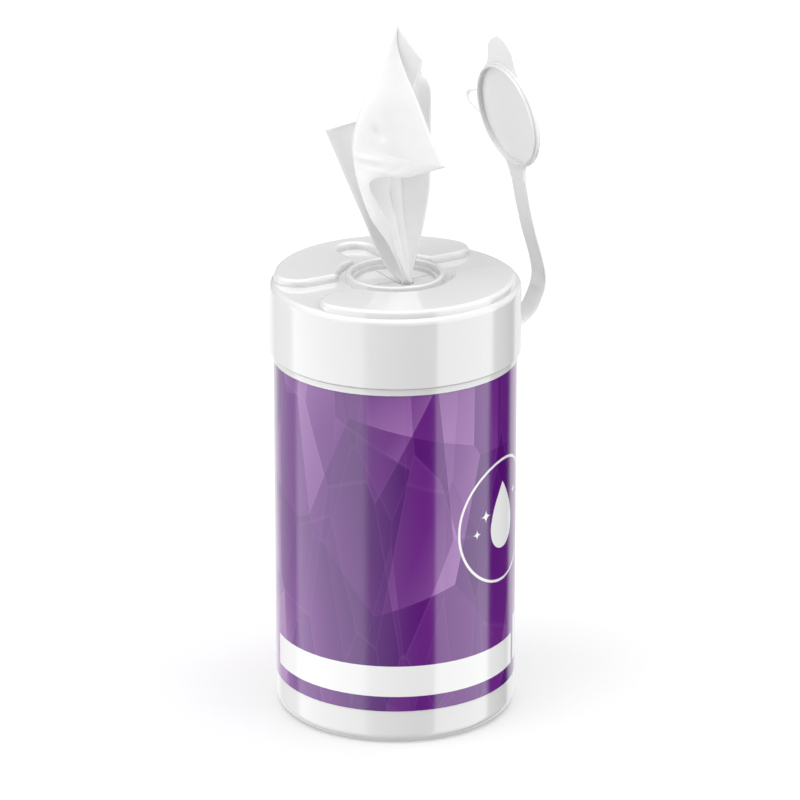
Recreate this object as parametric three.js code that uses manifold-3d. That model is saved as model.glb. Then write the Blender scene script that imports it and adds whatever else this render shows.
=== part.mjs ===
// A tub of alcohol wipes with its tethered lid open and one wipe pulled up through the cap.
// Millimetres, +Z up. The origin is in the plane that the tub stands on, under the middle of the
// whole pack. The pieces are drawn about the tub's axis and shifted together at the end.
// +X points at the strap, so the strap, the lid and the channel across the cap lie in the XZ plane.
import * as THREE from "three";
import { mergeVertices } from "three/addons/utils/BufferGeometryUtils.js";
import Module from "manifold-3d";

const wasm = await Module();
wasm.setup();

const axisX = -8; // the tub's axis

// Clearances
const seatGap = 0.3; // between pieces that rest on or butt against each other
const beadPlay = 0.15; // between the cap's bead and the neck's bead as the cap lifts
const rollPlay = 1.6; // between the roll and the tub's wall

// Tub
const bodyRadius = 44.3;
const bodyWall = 1.3;
const heelRadius = 4;
const floorThickness = 1.6;
const standRingWidth = 6;
const pushUp = 1.2; // depth of the recessed panel under the tub
const pushUpSlope = 2;
const beadRise = 0.6; // the shoulder bead stands this proud of the body
const beadBottom = 135.9;
const beadHeight = 2.5;
const neckStep = 0.9; // the neck is set in from the body by this
const neckHeight = 22.6; // above the shoulder bead
const neckBeadRise = 0.5;
const neckBeadHeight = 2;
const neckBeadUp = 9; // above the shoulder bead
const neckTaper = 2; // height over which the body's bore narrows to the neck's

// Wrap label
const labelThickness = 0.2;
const labelBottom = 13;
const labelTop = 135.6;
const labelSeamGap = 0.6; // open strip where the ends of the label meet
const labelSeamAzimuth = 60; // degrees from +X, round the back

// Cap
const skirtRise = 1.6; // the skirt stands this proud of the tub's body
const skirtHeight = 26.1;
const capWall = 1.5;
const shoulderRadius = 2.4;
const capBeadRise = 0.35;
const capBeadHeight = 1.6;
const capBeadUp = 4.5; // above the skirt's lower rim
const padHeight = 2.7;
const padRim = 1.7; // from the skirt's face in to the pads
const padCorner = 9;
const padInnerCorner = 2;
const padEdge = 1.5; // rounding of the pads' top edges
const channelHalfWidth = 8;
const grooveRadius = 21;
const collarRadius = 18;
const collarWall = 2;
const collarHeight = 2.8; // above the deck
const collarEdge = 0.7;
const ledgeDrop = 2.2; // ledge inside the collar, below its top
const ledgeWidth = 1.1;
const valveThickness = 0.8;
const valveDrop = 3.7; // valve's top face, below the collar's top
const slitWidth = 0.35;
const slitMargin = 0.8; // uncut rim of the valve
const sealDepth = 6;
const sealWall = 1.2;
const pocketX = 1;
const pocketHalfWidth = 6.5;
const pocketMargin = 6.2; // from the pads' outer edge in to the end of the finger pocket
const pocketMouth = 2; // rounding of the corners where the pocket opens to the groove
const lugLength = 2.2;
const lugWidth = 12;
const lugHeight = 2.4;
const lugFlare = 1.5;

// Flip lid, modelled shut: its underside is the plane z = 0 and its centre is the origin
const lidThickness = 0.8;
const lidRadius = 20.2;
const lidRound = 0.9; // rounding of the outer face's rim
const lidEdge = 0.3;
const flangeDrop = 0.9; // the flange's lower face, below the underside
const lipHeight = 1.9;
const lipWall = 0.9;
const lipPlay = 0.4; // between the lip and the collar
const tabOutline = [[15.5, 11.2], [17.4, 10.9], [20, 9.5], [22.5, 8.9], [25.2, 8.3], [27, 6.9], [28.4, 5.2],
  [29.3, 3.4], [29.8, 1.2]]; // distance from the centre and half width
const tabCurl = 0.6; // rise of the tab's tip
const loopReach = 29;
const loopRootHalfWidth = 5.4;
const loopTipHalfWidth = 2.8;
const loopRod = 0.9;
const lidNeckReach = 25.5;
const lidNeckHalfWidth = 7.2;
const lidNeckRoot = 1.8; // how far the neck starts inside the lid's rim
const lidNeckThickness = 1;

// Strap and the hinge that stands for its bend
const strapWidth = 9.5;
const strapThickness = 1.1;
const strapBulge = 12.9; // how far the strap stands out from its root
const strapClimb = 46.1; // height at which it reaches its straight run to the lid
const strapRoute = [[0, 0], [0.24, 0.004], [0.62, 0.082], [0.837, 0.18], [0.953, 0.262], [1, 0.349],
  [0.93, 0.469], [0.822, 0.581], [0.667, 0.718], [0.419, 1]]; // shares of the bulge and of the climb
const hingeOut = 9.3; // hinge line, out from the skirt's face
const hingeZ = 165.25;
const openAngle = 79.6; // degrees from shut to the position modelled

// Wipe roll and the wipe pulled from its centre
const rollHole = 13;
const rollHeight = 122;
const rollTurns = 7;
const turnGroove = 1.2;
const wipeThickness = 0.5;
const wipeExitX = 2.74;
const wipeExitY = -3.66;
const valveHole = 2.5; // opening that the wipe spreads between the valve's flaps
const frontTurn = -30; // degrees from +X to the wipe's own left-to-right direction

// Sizes that follow from those above
const beadRadius = bodyRadius + beadRise;
const neckRadius = bodyRadius - neckStep;
const skirtRadius = bodyRadius + skirtRise;
const padRadius = skirtRadius - padRim;
const pocketReach = padRadius - pocketMargin;
const rollRadius = bodyRadius - bodyWall - rollPlay;
const hingeX = skirtRadius + hingeOut;
const beadTop = beadBottom + beadHeight;
const neckTop = beadTop + neckHeight;
const skirtBottom = beadTop + seatGap;
const deckTop = skirtBottom + skirtHeight;
const deckBottom = deckTop - capWall;
const padTop = deckTop + padHeight;
const collarTop = deckTop + collarHeight;
const valveTop = collarTop - valveDrop;
const lidSeat = collarTop + seatGap;
const skirtInner = skirtRadius - capWall;
const collarInner = collarRadius - collarWall;
const valveRadius = collarInner - ledgeWidth;
const neckInner = neckRadius - bodyWall;
const sealOuter = neckInner - seatGap - beadPlay;
const sealInner = sealOuter - sealWall;
const rollBottom = pushUp + floorThickness + seatGap;
const labelInner = bodyRadius;
const labelRadius = labelInner + labelThickness;

const arcSteps = 3;
const roundSteps = 64;
const radians = THREE.MathUtils.degToRad;

const white = { color: 0xf2f2f2, roughness: 0.3, metalness: 0 };
const finishes = {
  tub: new THREE.MeshStandardMaterial({ ...white, roughness: 0.25 }),
  label: new THREE.MeshStandardMaterial({ color: 0x6b3589, roughness: 0.3, metalness: 0 }),
  cap: new THREE.MeshStandardMaterial(white),
  lid: new THREE.MeshStandardMaterial(white),
  strap: new THREE.MeshStandardMaterial(white),
  roll: new THREE.MeshStandardMaterial({ color: 0xf4f4f4, roughness: 0.9, metalness: 0 }),
  wipe: new THREE.MeshStandardMaterial({ color: 0xf7f7f7, roughness: 0.9, metalness: 0 }),
};

// A closed three.js geometry as a manifold solid, with its shared vertices merged.
function solid(geometry) {
  const bare = geometry.index ? geometry.toNonIndexed() : geometry.clone();
  for (const name of Object.keys(bare.attributes)) {
    if (name !== "position") bare.deleteAttribute(name);
  }
  const merged = mergeVertices(bare, 1e-4);
  const index = merged.index.array;
  const kept = [];
  for (let i = 0; i < index.length; i += 3) {
    const [a, b, c] = [index[i], index[i + 1], index[i + 2]];
    if (a !== b && b !== c && c !== a) kept.push(a, b, c);
  }
  return new wasm.Manifold(
    new wasm.Mesh({
      numProp: 3,
      vertProperties: new Float32Array(merged.attributes.position.array),
      triVerts: new Uint32Array(kept),
    }),
  );
}

// A manifold solid as a three.js geometry.
function geometryOf(made) {
  const mesh = made.getMesh();
  const geometry = new THREE.BufferGeometry();
  geometry.setAttribute("position", new THREE.BufferAttribute(new Float32Array(mesh.vertProperties), 3));
  geometry.setIndex(new THREE.BufferAttribute(new Uint32Array(mesh.triVerts), 1));
  geometry.computeVertexNormals();
  return geometry;
}

function named(name, made, material) {
  const mesh = new THREE.Mesh(geometryOf(made), material);
  mesh.name = name;
  return mesh;
}

// A profile in (radius, height), turned about the Z axis. The profile closes on itself.
function revolved(path, steps = roundSteps) {
  let points = path.getPoints(arcSteps);
  if (THREE.ShapeUtils.area(points) > 0) points = points.reverse();
  const geometry = new THREE.LatheGeometry([...points, points[0].clone()], steps);
  geometry.rotateX(Math.PI / 2);
  const made = solid(geometry);
  return made.volume() < 0 ? solid(flipped(geometry)) : made;
}

function flipped(geometry) {
  const bare = geometry.index ? geometry.toNonIndexed() : geometry;
  const p = bare.attributes.position;
  const turned = new Float32Array(p.array.length);
  for (let i = 0; i < p.count; i += 3) {
    [0, 2, 1].forEach((from, to) => {
      for (let k = 0; k < 3; k += 1) turned[(i + to) * 3 + k] = p.array[(i + from) * 3 + k];
    });
  }
  return new THREE.BufferGeometry().setAttribute("position", new THREE.BufferAttribute(turned, 3));
}

// A flat outline raised from one height to another.
function raised(shape, from, to, edge = 0) {
  const geometry = new THREE.ExtrudeGeometry(shape, {
    depth: to - from - 2 * edge,
    bevelEnabled: edge > 0,
    bevelThickness: edge,
    bevelSize: edge,
    bevelOffset: -edge,
    bevelSegments: 2,
    curveSegments: 7,
  });
  geometry.translate(0, 0, from + edge);
  return solid(geometry);
}

function block(width, length, height, x, y, z) {
  const geometry = new THREE.BoxGeometry(width, length, height);
  geometry.translate(x, y, z);
  return solid(geometry);
}

// Rings of points joined into one closed skin, with a flat cap on each end.
function lofted(rings) {
  const count = rings[0].length;
  const points = rings.flat().flatMap((p) => [p.x, p.y, p.z]);
  const faces = [];
  for (let i = 0; i + 1 < rings.length; i += 1) {
    for (let j = 0; j < count; j += 1) {
      const [a, b] = [i * count + j, i * count + ((j + 1) % count)];
      const [c, d] = [a + count, b + count];
      faces.push(a, b, d, a, d, c);
    }
  }
  const last = (rings.length - 1) * count;
  const cap = THREE.ShapeUtils.triangulateShape;
  for (const [start, back] of [[0, true], [last, false]]) {
    for (const [a, b, c] of cap(flat(rings[start / count]), [])) {
      if (back) faces.push(start + a, start + c, start + b);
      else faces.push(start + a, start + b, start + c);
    }
  }
  const geometry = new THREE.BufferGeometry();
  geometry.setAttribute("position", new THREE.BufferAttribute(new Float32Array(points), 3));
  geometry.setIndex(faces);
  const made = solid(geometry);
  return made.volume() < 0 ? solid(flipped(geometry)) : made;
}

// A ring of points laid flat in its own plane, turning the same way as the ring.
function flat(ring) {
  const u = ring[1].clone().sub(ring[0]).normalize();
  const n = new THREE.Vector3();
  ring.forEach((p, i) => {
    const q = ring[(i + 1) % ring.length];
    n.add(new THREE.Vector3().crossVectors(p, q));
  });
  const v = new THREE.Vector3().crossVectors(n.normalize(), u);
  return ring.map((p) => new THREE.Vector2(p.clone().sub(ring[0]).dot(u), p.clone().sub(ring[0]).dot(v)));
}

// The blow-moulded tub: heel, straight wall, shoulder bead and a neck with a small bead.
function tub() {
  const inner = bodyRadius - bodyWall;
  const ringOuter = bodyRadius - heelRadius;
  const ringInner = ringOuter - standRingWidth;
  const neckBeadBottom = beadTop + neckBeadUp;
  const path = new THREE.Path();
  path.moveTo(0, pushUp);
  path.lineTo(ringInner - pushUpSlope, pushUp);
  path.lineTo(ringInner, 0);
  path.lineTo(ringOuter, 0);
  path.absarc(ringOuter, heelRadius, heelRadius, -Math.PI / 2, 0, false);
  path.lineTo(bodyRadius, beadBottom - 0.2);
  path.lineTo(beadRadius, beadBottom);
  path.lineTo(beadRadius, beadTop - 0.3);
  path.lineTo(beadRadius - 0.3, beadTop);
  path.lineTo(neckRadius, beadTop);
  path.lineTo(neckRadius, neckBeadBottom);
  path.lineTo(neckRadius + neckBeadRise, neckBeadBottom + neckBeadHeight / 2);
  path.lineTo(neckRadius, neckBeadBottom + neckBeadHeight);
  path.lineTo(neckRadius, neckTop - 0.4);
  path.lineTo(neckRadius - 0.4, neckTop);
  path.lineTo(neckInner + 0.3, neckTop);
  path.lineTo(neckInner, neckTop - 0.3);
  path.lineTo(neckInner, beadTop);
  path.lineTo(inner, beadTop - neckTaper);
  path.lineTo(inner, heelRadius);
  path.absarc(ringOuter, heelRadius, heelRadius - bodyWall, 0, -Math.PI / 2, true);
  path.lineTo(ringInner, floorThickness);
  path.lineTo(ringInner - pushUpSlope, pushUp + floorThickness);
  path.lineTo(0, pushUp + floorThickness);
  path.closePath();
  return revolved(path);
}

// The wrap label: a thin sleeve on the tub's wall, open along its seam.
function wrapLabel() {
  const path = new THREE.Path();
  path.moveTo(labelInner, labelBottom);
  path.lineTo(labelRadius, labelBottom);
  path.lineTo(labelRadius, labelTop);
  path.lineTo(labelInner, labelTop);
  path.closePath();
  const seam = radians(labelSeamAzimuth);
  const cutter = new THREE.BoxGeometry(bodyWall, labelSeamGap, labelTop);
  cutter.translate(labelRadius, 0, (labelTop + labelBottom) / 2);
  cutter.rotateZ(seam);
  return revolved(path).subtract(solid(cutter));
}

function arc(x, y, radius, from, to, steps) {
  return Array.from({ length: steps + 1 }, (_, i) => {
    const angle = from + ((to - from) * i) / steps;
    return new THREE.Vector2(x + radius * Math.cos(angle), y + radius * Math.sin(angle));
  });
}

// Outline of the pad where y is positive, drawn in by an inset. Every corner is an arc, so that
// outlines with different insets have the same points. The pocket, if there is one, is a notch in
// the pad's inner edge.
function padOutline(inset, outerRadius, withPocket) {
  const right = 0;
  const up = Math.PI / 2;
  const left = Math.PI;
  const down = (3 * Math.PI) / 2;
  const cornerY = channelHalfWidth + padCorner;
  const cornerX = Math.sqrt((outerRadius - padCorner) ** 2 - cornerY ** 2);
  const innerY = channelHalfWidth + padInnerCorner;
  const innerX = Math.sqrt((grooveRadius + padInnerCorner) ** 2 - innerY ** 2);
  const outerAngle = Math.atan2(cornerY, cornerX);
  const innerAngle = Math.atan2(innerY, innerX);
  const corner = padCorner - inset;
  const innerCorner = padInnerCorner - inset;
  const inner = grooveRadius + inset;
  const points = [
    ...arc(cornerX, cornerY, corner, -up, outerAngle, 6),
    ...arc(0, 0, outerRadius - inset, outerAngle, left - outerAngle, 24),
    ...arc(-cornerX, cornerY, corner, left - outerAngle, down, 6),
    ...arc(-innerX, innerY, innerCorner, -up, -innerAngle, 3),
  ];
  if (withPocket) {
    const mouth = pocketMouth - inset;
    const reach = grooveRadius + pocketMouth;
    const leftX = pocketX - pocketHalfWidth - pocketMouth;
    const rightX = pocketX + pocketHalfWidth + pocketMouth;
    const leftY = Math.sqrt(reach ** 2 - leftX ** 2);
    const rightY = Math.sqrt(reach ** 2 - rightX ** 2);
    const leftAngle = Math.atan2(leftY, leftX);
    const rightAngle = Math.atan2(rightY, rightX);
    points.push(
      ...arc(0, 0, inner, left - innerAngle, leftAngle, 5),
      ...arc(leftX, leftY, mouth, leftAngle - left, right, 4),
      ...arc(pocketX, pocketReach - pocketHalfWidth, pocketHalfWidth + inset, left, right, 10),
      ...arc(rightX, rightY, mouth, left, rightAngle + left, 4),
      ...arc(0, 0, inner, rightAngle, innerAngle, 5),
    );
  } else {
    points.push(...arc(0, 0, inner, left - innerAngle, innerAngle, 14));
  }
  points.push(...arc(innerX, innerY, innerCorner, left + innerAngle, down, 3));
  return points.filter((p, i) => p.distanceTo(points[(i + 1) % points.length]) > 1e-3);
}

// A pad with a rounded top edge, its foot sunk into the deck.
function pad(withPocket) {
  const levels = [[deckTop - 0.5, 0]];
  const steps = 3;
  for (let i = 0; i <= steps; i += 1) {
    const angle = ((Math.PI / 2) * i) / steps;
    levels.push([padTop - padEdge * (1 - Math.sin(angle)), padEdge * (1 - Math.cos(angle))]);
  }
  return lofted(
    levels.map(([z, inset]) =>
      padOutline(inset, padRadius, withPocket).map((p) => new THREE.Vector3(p.x, p.y, z)),
    ),
  );
}

// The space under a pad, which keeps clear of the plug seal's root.
function padHollow(withPocket) {
  const under = deckBottom - 0.1;
  const outline = padOutline(capWall, sealInner - seatGap + capWall, false);
  const made = raised(new THREE.Shape(outline), under, padTop - capWall);
  return withPocket ? made.subtract(raised(pocketOutline(capWall), under - 1, padTop)) : made;
}

// Outline of the finger pocket, where the lid's loop lies when shut, grown by a margin.
function pocketOutline(grow) {
  const half = pocketHalfWidth + grow;
  const end = pocketReach - pocketHalfWidth;
  const shape = new THREE.Shape();
  shape.moveTo(pocketX - half, collarRadius);
  shape.lineTo(pocketX + half, collarRadius);
  shape.lineTo(pocketX + half, end);
  shape.absarc(pocketX, end, half, 0, Math.PI, false);
  return shape;
}

// The revolved part of the cap: skirt, shoulder, deck, collar, slit valve and plug seal.
function capShell() {
  const beadAt = skirtBottom + capBeadUp;
  const beadInner = skirtInner - capBeadRise;
  const ledge = collarTop - ledgeDrop;
  const path = new THREE.Path();
  path.moveTo(0, valveTop);
  path.lineTo(valveRadius, valveTop);
  path.lineTo(valveRadius, ledge);
  path.lineTo(collarInner, ledge);
  path.lineTo(collarInner, collarTop - collarEdge);
  path.absarc(collarInner + collarEdge, collarTop - collarEdge, collarEdge, Math.PI, Math.PI / 2, true);
  path.absarc(collarRadius - collarEdge, collarTop - collarEdge, collarEdge, Math.PI / 2, 0, true);
  path.lineTo(collarRadius, deckTop);
  path.lineTo(skirtRadius - shoulderRadius, deckTop);
  path.absarc(skirtRadius - shoulderRadius, deckTop - shoulderRadius, shoulderRadius, Math.PI / 2, 0, true);
  path.lineTo(skirtRadius, skirtBottom + 0.3);
  path.lineTo(skirtRadius - 0.3, skirtBottom);
  path.lineTo(skirtInner, skirtBottom);
  path.lineTo(skirtInner, beadAt);
  path.lineTo(beadInner, beadAt + capBeadHeight / 2);
  path.lineTo(skirtInner, beadAt + capBeadHeight);
  path.absarc(skirtInner - capWall, deckBottom - capWall, capWall, 0, Math.PI / 2, false);
  path.lineTo(sealOuter, deckBottom);
  path.lineTo(sealOuter, deckBottom - sealDepth + 0.8);
  path.lineTo(sealOuter - sealWall / 2, deckBottom - sealDepth);
  path.lineTo(sealInner, deckBottom - sealDepth);
  path.lineTo(sealInner, deckBottom);
  path.lineTo(collarInner, deckBottom);
  path.lineTo(collarInner - 0.6, valveTop - valveThickness);
  path.lineTo(0, valveTop - valveThickness);
  path.closePath();
  return revolved(path);
}

// A small root on the skirt's lower rim that the strap grows from.
function strapLug() {
  const half = lugWidth / 2;
  const shape = new THREE.Shape();
  shape.moveTo(skirtRadius - capWall / 2, -half - lugFlare);
  shape.lineTo(skirtRadius + lugLength, -strapWidth / 2);
  shape.lineTo(skirtRadius + lugLength, strapWidth / 2);
  shape.lineTo(skirtRadius - capWall / 2, half + lugFlare);
  shape.closePath();
  return raised(shape, skirtBottom, skirtBottom + lugHeight);
}

function dispensingCap() {
  const slitLength = 2 * (valveRadius - slitMargin);
  const valveMiddle = valveTop - valveThickness / 2;
  const cut = valveThickness * 2;
  const opening = new THREE.CylinderGeometry(valveHole, valveHole, cut, 24);
  opening.rotateX(Math.PI / 2);
  opening.translate(wipeExitX, wipeExitY, valveMiddle);
  return capShell()
    .add(pad(true))
    .add(pad(false).rotate([0, 0, 180]))
    .add(strapLug())
    .subtract(padHollow(true))
    .subtract(padHollow(false).rotate([0, 0, 180]))
    .subtract(block(slitLength, slitWidth, cut, 0, 0, valveMiddle))
    .subtract(block(slitWidth, slitLength, cut, 0, 0, valveMiddle))
    .subtract(solid(opening));
}

// The lid's plate with its rounded rim, the flange under it and the lip that goes round the collar.
function lidPlate() {
  const lipInner = collarRadius + lipPlay;
  const lipOuter = lipInner + lipWall;
  const path = new THREE.Path();
  path.moveTo(0, 0);
  path.lineTo(lipInner, 0);
  path.lineTo(lipInner, lidEdge - lipHeight);
  path.lineTo(lipInner + lidEdge, -lipHeight);
  path.lineTo(lipOuter - lidEdge, -lipHeight);
  path.lineTo(lipOuter, lidEdge - lipHeight);
  path.lineTo(lipOuter, -flangeDrop);
  path.lineTo(lidRadius - lidEdge, -flangeDrop);
  path.lineTo(lidRadius, lidEdge - flangeDrop);
  path.lineTo(lidRadius, lidThickness - lidRound);
  path.absarc(lidRadius - lidRound, lidThickness - lidRound, lidRound, 0, Math.PI / 2, false);
  path.lineTo(0, lidThickness);
  path.closePath();
  return revolved(path);
}

// The grip tab, on the side away from the strap: it narrows, and its tip curls up.
function gripTab() {
  const reach = tabOutline[tabOutline.length - 1][0];
  const root = tabOutline[0][0];
  return lofted(
    tabOutline.map(([x, half]) => {
      const low = tabCurl * ((x - root) / (reach - root)) ** 2;
      const high = low + lidThickness;
      return [
        new THREE.Vector3(-x, -half, low),
        new THREE.Vector3(-x, half, low),
        new THREE.Vector3(-x, half, high),
        new THREE.Vector3(-x, -half, high),
      ];
    }),
  );
}

// Outline of the pull loop, widest at the lid's edge and round at its far end.
function loopOutline(inset) {
  const root = inset > 0 ? lidRadius + 0.1 : lidRadius - 0.8;
  const tip = loopTipHalfWidth - inset;
  const end = loopReach - loopTipHalfWidth;
  const half = loopRootHalfWidth - inset;
  const shape = new THREE.Shape();
  shape.moveTo(-half, root);
  shape.lineTo(half, root);
  shape.lineTo(tip, end);
  shape.absarc(0, end, tip, 0, Math.PI, false);
  shape.lineTo(-half, root);
  return shape;
}

function pullLoop() {
  const shape = loopOutline(0);
  shape.holes.push(loopOutline(loopRod));
  return raised(shape, -flangeDrop, 0);
}

// The short flared neck where the strap leaves the lid.
function lidNeck() {
  const root = lidRadius - lidNeckRoot;
  const flare = strapWidth / 2 + 0.5;
  const shape = new THREE.Shape();
  shape.moveTo(root, -lidNeckHalfWidth);
  shape.quadraticCurveTo(lidRadius + 0.4, -flare, lidNeckReach, -strapWidth / 2);
  shape.lineTo(lidNeckReach, strapWidth / 2);
  shape.quadraticCurveTo(lidRadius + 0.4, flare, root, lidNeckHalfWidth);
  shape.closePath();
  return raised(shape, -flangeDrop, lidNeckThickness - flangeDrop);
}

function flipLid() {
  const lipInner = collarRadius + lipPlay;
  const recess = new THREE.CylinderGeometry(lipInner, lipInner, lipHeight, roundSteps);
  recess.rotateX(Math.PI / 2);
  recess.rotateZ(Math.PI / 2);
  recess.translate(0, 0, -lipHeight / 2);
  return lidNeck().add(pullLoop()).subtract(solid(recess)).add(lidPlate()).add(gripTab());
}

// A point given with the lid shut, as it lies with the lid open.
function opened(x, z) {
  const angle = radians(openAngle);
  const [dx, dz] = [x - hingeX, z - hingeZ];
  return new THREE.Vector2(
    hingeX + dx * Math.cos(angle) + dz * Math.sin(angle),
    hingeZ - dx * Math.sin(angle) + dz * Math.cos(angle),
  );
}

// The strap: it leaves the skirt's rim, turns up clear of the cap and runs straight to the lid.
function lidStrap() {
  const rootX = skirtRadius + lugLength + seatGap;
  const rootZ = skirtBottom + lugHeight / 2;
  const lidEnd = opened(lidNeckReach + seatGap, lidSeat - flangeDrop + lidNeckThickness / 2);
  const line = new THREE.SplineCurve([
    ...strapRoute.map(([out, up]) => new THREE.Vector2(rootX + out * strapBulge, rootZ + up * strapClimb)),
    lidEnd,
  ]);
  const steps = 36;
  const rings = [];
  for (let i = 0; i <= steps; i += 1) {
    const t = i / steps;
    const p = line.getPoint(t);
    const along = line.getTangent(t);
    const side = new THREE.Vector2(-along.y, along.x).multiplyScalar(strapThickness / 2);
    const half = strapWidth / 2;
    rings.push([
      new THREE.Vector3(p.x + side.x, -half, p.y + side.y),
      new THREE.Vector3(p.x + side.x, half, p.y + side.y),
      new THREE.Vector3(p.x - side.x, half, p.y - side.y),
      new THREE.Vector3(p.x - side.x, -half, p.y - side.y),
    ]);
  }
  return lofted(rings);
}

// The coreless roll: a thick ring whose top shows its turns as grooves.
function wipeRoll() {
  const pitch = (rollRadius - rollHole) / rollTurns;
  const top = rollBottom + rollHeight;
  const path = new THREE.Path();
  path.moveTo(rollHole, rollBottom);
  path.lineTo(rollRadius, rollBottom);
  for (let turn = 0; turn < rollTurns; turn += 1) {
    const outer = rollRadius - turn * pitch;
    path.lineTo(outer, top - turnGroove);
    path.lineTo(outer - pitch * 0.25, top);
    path.lineTo(outer - pitch * 0.8, top);
  }
  path.lineTo(rollHole, top - turnGroove);
  path.closePath();
  return revolved(path, 40);
}

// The pulled wipe is a sheet folded in a Z. Each line runs up one edge or fold of it, from inside
// the roll to the top, as [left to right, front to back, height above the valve].
const wipeLines = {
  leftEdge: [
    [0, 1.2, -46], [0.4, 1, -22], [2.2, 0, -6], [2.8, -0.3, -0.3], [-0.9, 0.6, 2.3], [-4.1, 1.6, 6.3],
    [-6.7, 2.5, 11.1], [-7.1, 2.6, 11.9], [-7.5, 2.7, 12.8], [-9.9, 3.5, 18.5], [-12.8, 4.4, 25.7],
    [-15.3, 5, 31.2], [-17.4, 5.6, 36.2], [-19.7, 6.2, 41.6], [-21.8, 6.8, 46.8], [-23.7, 7.4, 51.1],
    [-25, 7.9, 54.4], [-25.3, 8, 54.9], [-24.6, 8.1, 55.1], [-20.4, 8.4, 56.4], [-13.8, 8.6, 58.3],
    [-7.2, 8, 61.9], [0.3, 6, 68.4], [5.4, 4, 72.9],
  ],
  rightFold: [
    [5, 0.8, -46], [5, 0.6, -22], [5.2, -0.7, -6], [5.3, -0.9, 0], [6.5, -0.4, 5.9], [7.8, 0.2, 10.7],
    [8.7, 0.6, 14.4], [8.8, 0.7, 15], [9, 0.7, 15.6], [9.8, 1, 19.4], [10.6, 1.3, 23.7],
    [11.4, 1.5, 28.4], [12, 1.5, 32], [12.4, 1.5, 36], [12.6, 1.5, 39.9], [12.7, 1.5, 44.3],
    [12.7, 1.5, 48.5], [12.7, 1.5, 49.2], [12.7, 1.5, 50.2], [12.8, 1.5, 56.1], [12.8, 1.5, 62.9],
    [12.7, 1.8, 72], [11.5, 2.4, 75.5], [9.5, 3, 78.4],
  ],
  pleatBack: [
    [4.4, 0, -46], [4.6, -0.1, -22], [4.8, -1.3, -6], [5, -1.5, 0.2], [4.9, -0.8, 6.1],
    [4.6, -0.2, 11.3], [4.1, 0.2, 15.5], [4, 0.3, 16.1], [3.9, 0.3, 16.8], [3.5, 0.6, 21],
    [2.9, 0.8, 25.9], [2.5, 0.8, 30.3], [2.3, 0.8, 34.2], [2.1, 0.8, 38.2], [2, 0.7, 42.1],
    [1.9, 0.6, 46.6], [1.9, 0.4, 50.8], [1.9, 0.4, 51.5], [2, 0.4, 52.5], [2.3, 0.2, 58.4],
    [3.1, 0, 65.8], [5.4, 0, 71.6], [7.7, 0.2, 76.1], [9.3, 0.6, 79.4],
  ],
  pleatFront: [
    [3.6, -0.8, -46], [3.8, -0.9, -22], [4.2, -1.9, -6], [4.6, -2.1, 0.5], [3.6, -1.6, 6.3],
    [2.5, -1.2, 11.7], [1.6, -1, 15.9], [1.5, -1, 16.6], [1.3, -1, 17.2], [0.4, -0.9, 21.5],
    [-0.5, -0.9, 26.4], [-1.3, -1, 30.9], [-1.9, -1.2, 34.9], [-2.2, -1.4, 38.9], [-1.9, -1.7, 42.9],
    [-0.9, -2.1, 47.4], [0.5, -2.5, 51.8], [0.7, -2.6, 52.5], [1, -2.7, 53.4], [2.9, -3, 59.4],
    [4.9, -3.2, 66.7], [6.6, -3.2, 73.5], [8.3, -3.2, 79.8], [9.6, -3, 84.6],
  ],
  leftFold: [
    [0, -1.7, -46], [0.6, -1.8, -22], [2.9, -2.5, -6], [3.3, -2.7, 0.8], [0.6, -3, 8.5],
    [-2.3, -3.5, 15.1], [-4.9, -4, 19.6], [-5.4, -4.1, 20.3], [-5.8, -4.2, 21], [-8.4, -4.8, 25.2],
    [-11, -5.6, 31.9], [-13, -6.4, 38.5], [-14.1, -7, 43.1], [-14.7, -7.4, 46.1], [-15, -7.7, 48.7],
    [-15.4, -8, 51.7], [-15.5, -8.3, 54.3], [-15.5, -8.3, 54.7], [-15.4, -8.3, 55.5],
    [-14.4, -8.4, 60.6], [-11.3, -7.6, 70.5], [-6.7, -6, 81.6], [-3, -4.8, 89.9], [0.7, -4, 97.6],
  ],
  rightEdge: [
    [4.4, -2.6, -46], [4.4, -2.8, -22], [4.4, -3.1, -6], [4.4, -3.3, 1.3], [2.3, -4.2, 7.9],
    [-0.1, -5.2, 14.5], [-1.2, -6.4, 21.8], [-1.4, -6.6, 22.9], [-1.8, -6.8, 23.7], [-4, -8, 28],
    [-6.6, -9.6, 33.3], [-8.9, -11.4, 38.6], [-8.7, -12.6, 42.1], [-3.4, -13.6, 44.2], [4, -14, 44.1],
    [11.4, -14, 45.9], [17, -13.7, 47.5], [17.9, -13.6, 47.8], [17.2, -13.4, 49.3], [13, -12, 58.3],
    [8, -9.6, 71.1], [2.6, -7, 84], [0.6, -5.6, 91.6], [0.9, -4.4, 97.5],
  ],
};

// How far each stretch between two lines bows forwards (negative) or back.
const wipeBows = [3, 0.6, -0.5, -1.2, -3];

// A point of the sheet: across runs 0 to 5 from line to line, and up runs from the tail to the top.
function wipePoint(curves, across, up) {
  const strip = Math.min(Math.floor(across), curves.length - 2);
  const t = across - strip;
  const a = curves[strip].getPoint(up);
  const b = curves[strip + 1].getPoint(up);
  const span = a.distanceTo(b);
  const bow = wipeBows[strip] * Math.min(1, span / 20) * 4 * t * (1 - t);
  return a.lerp(b, t).add(new THREE.Vector3(0, bow, 0));
}

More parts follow.
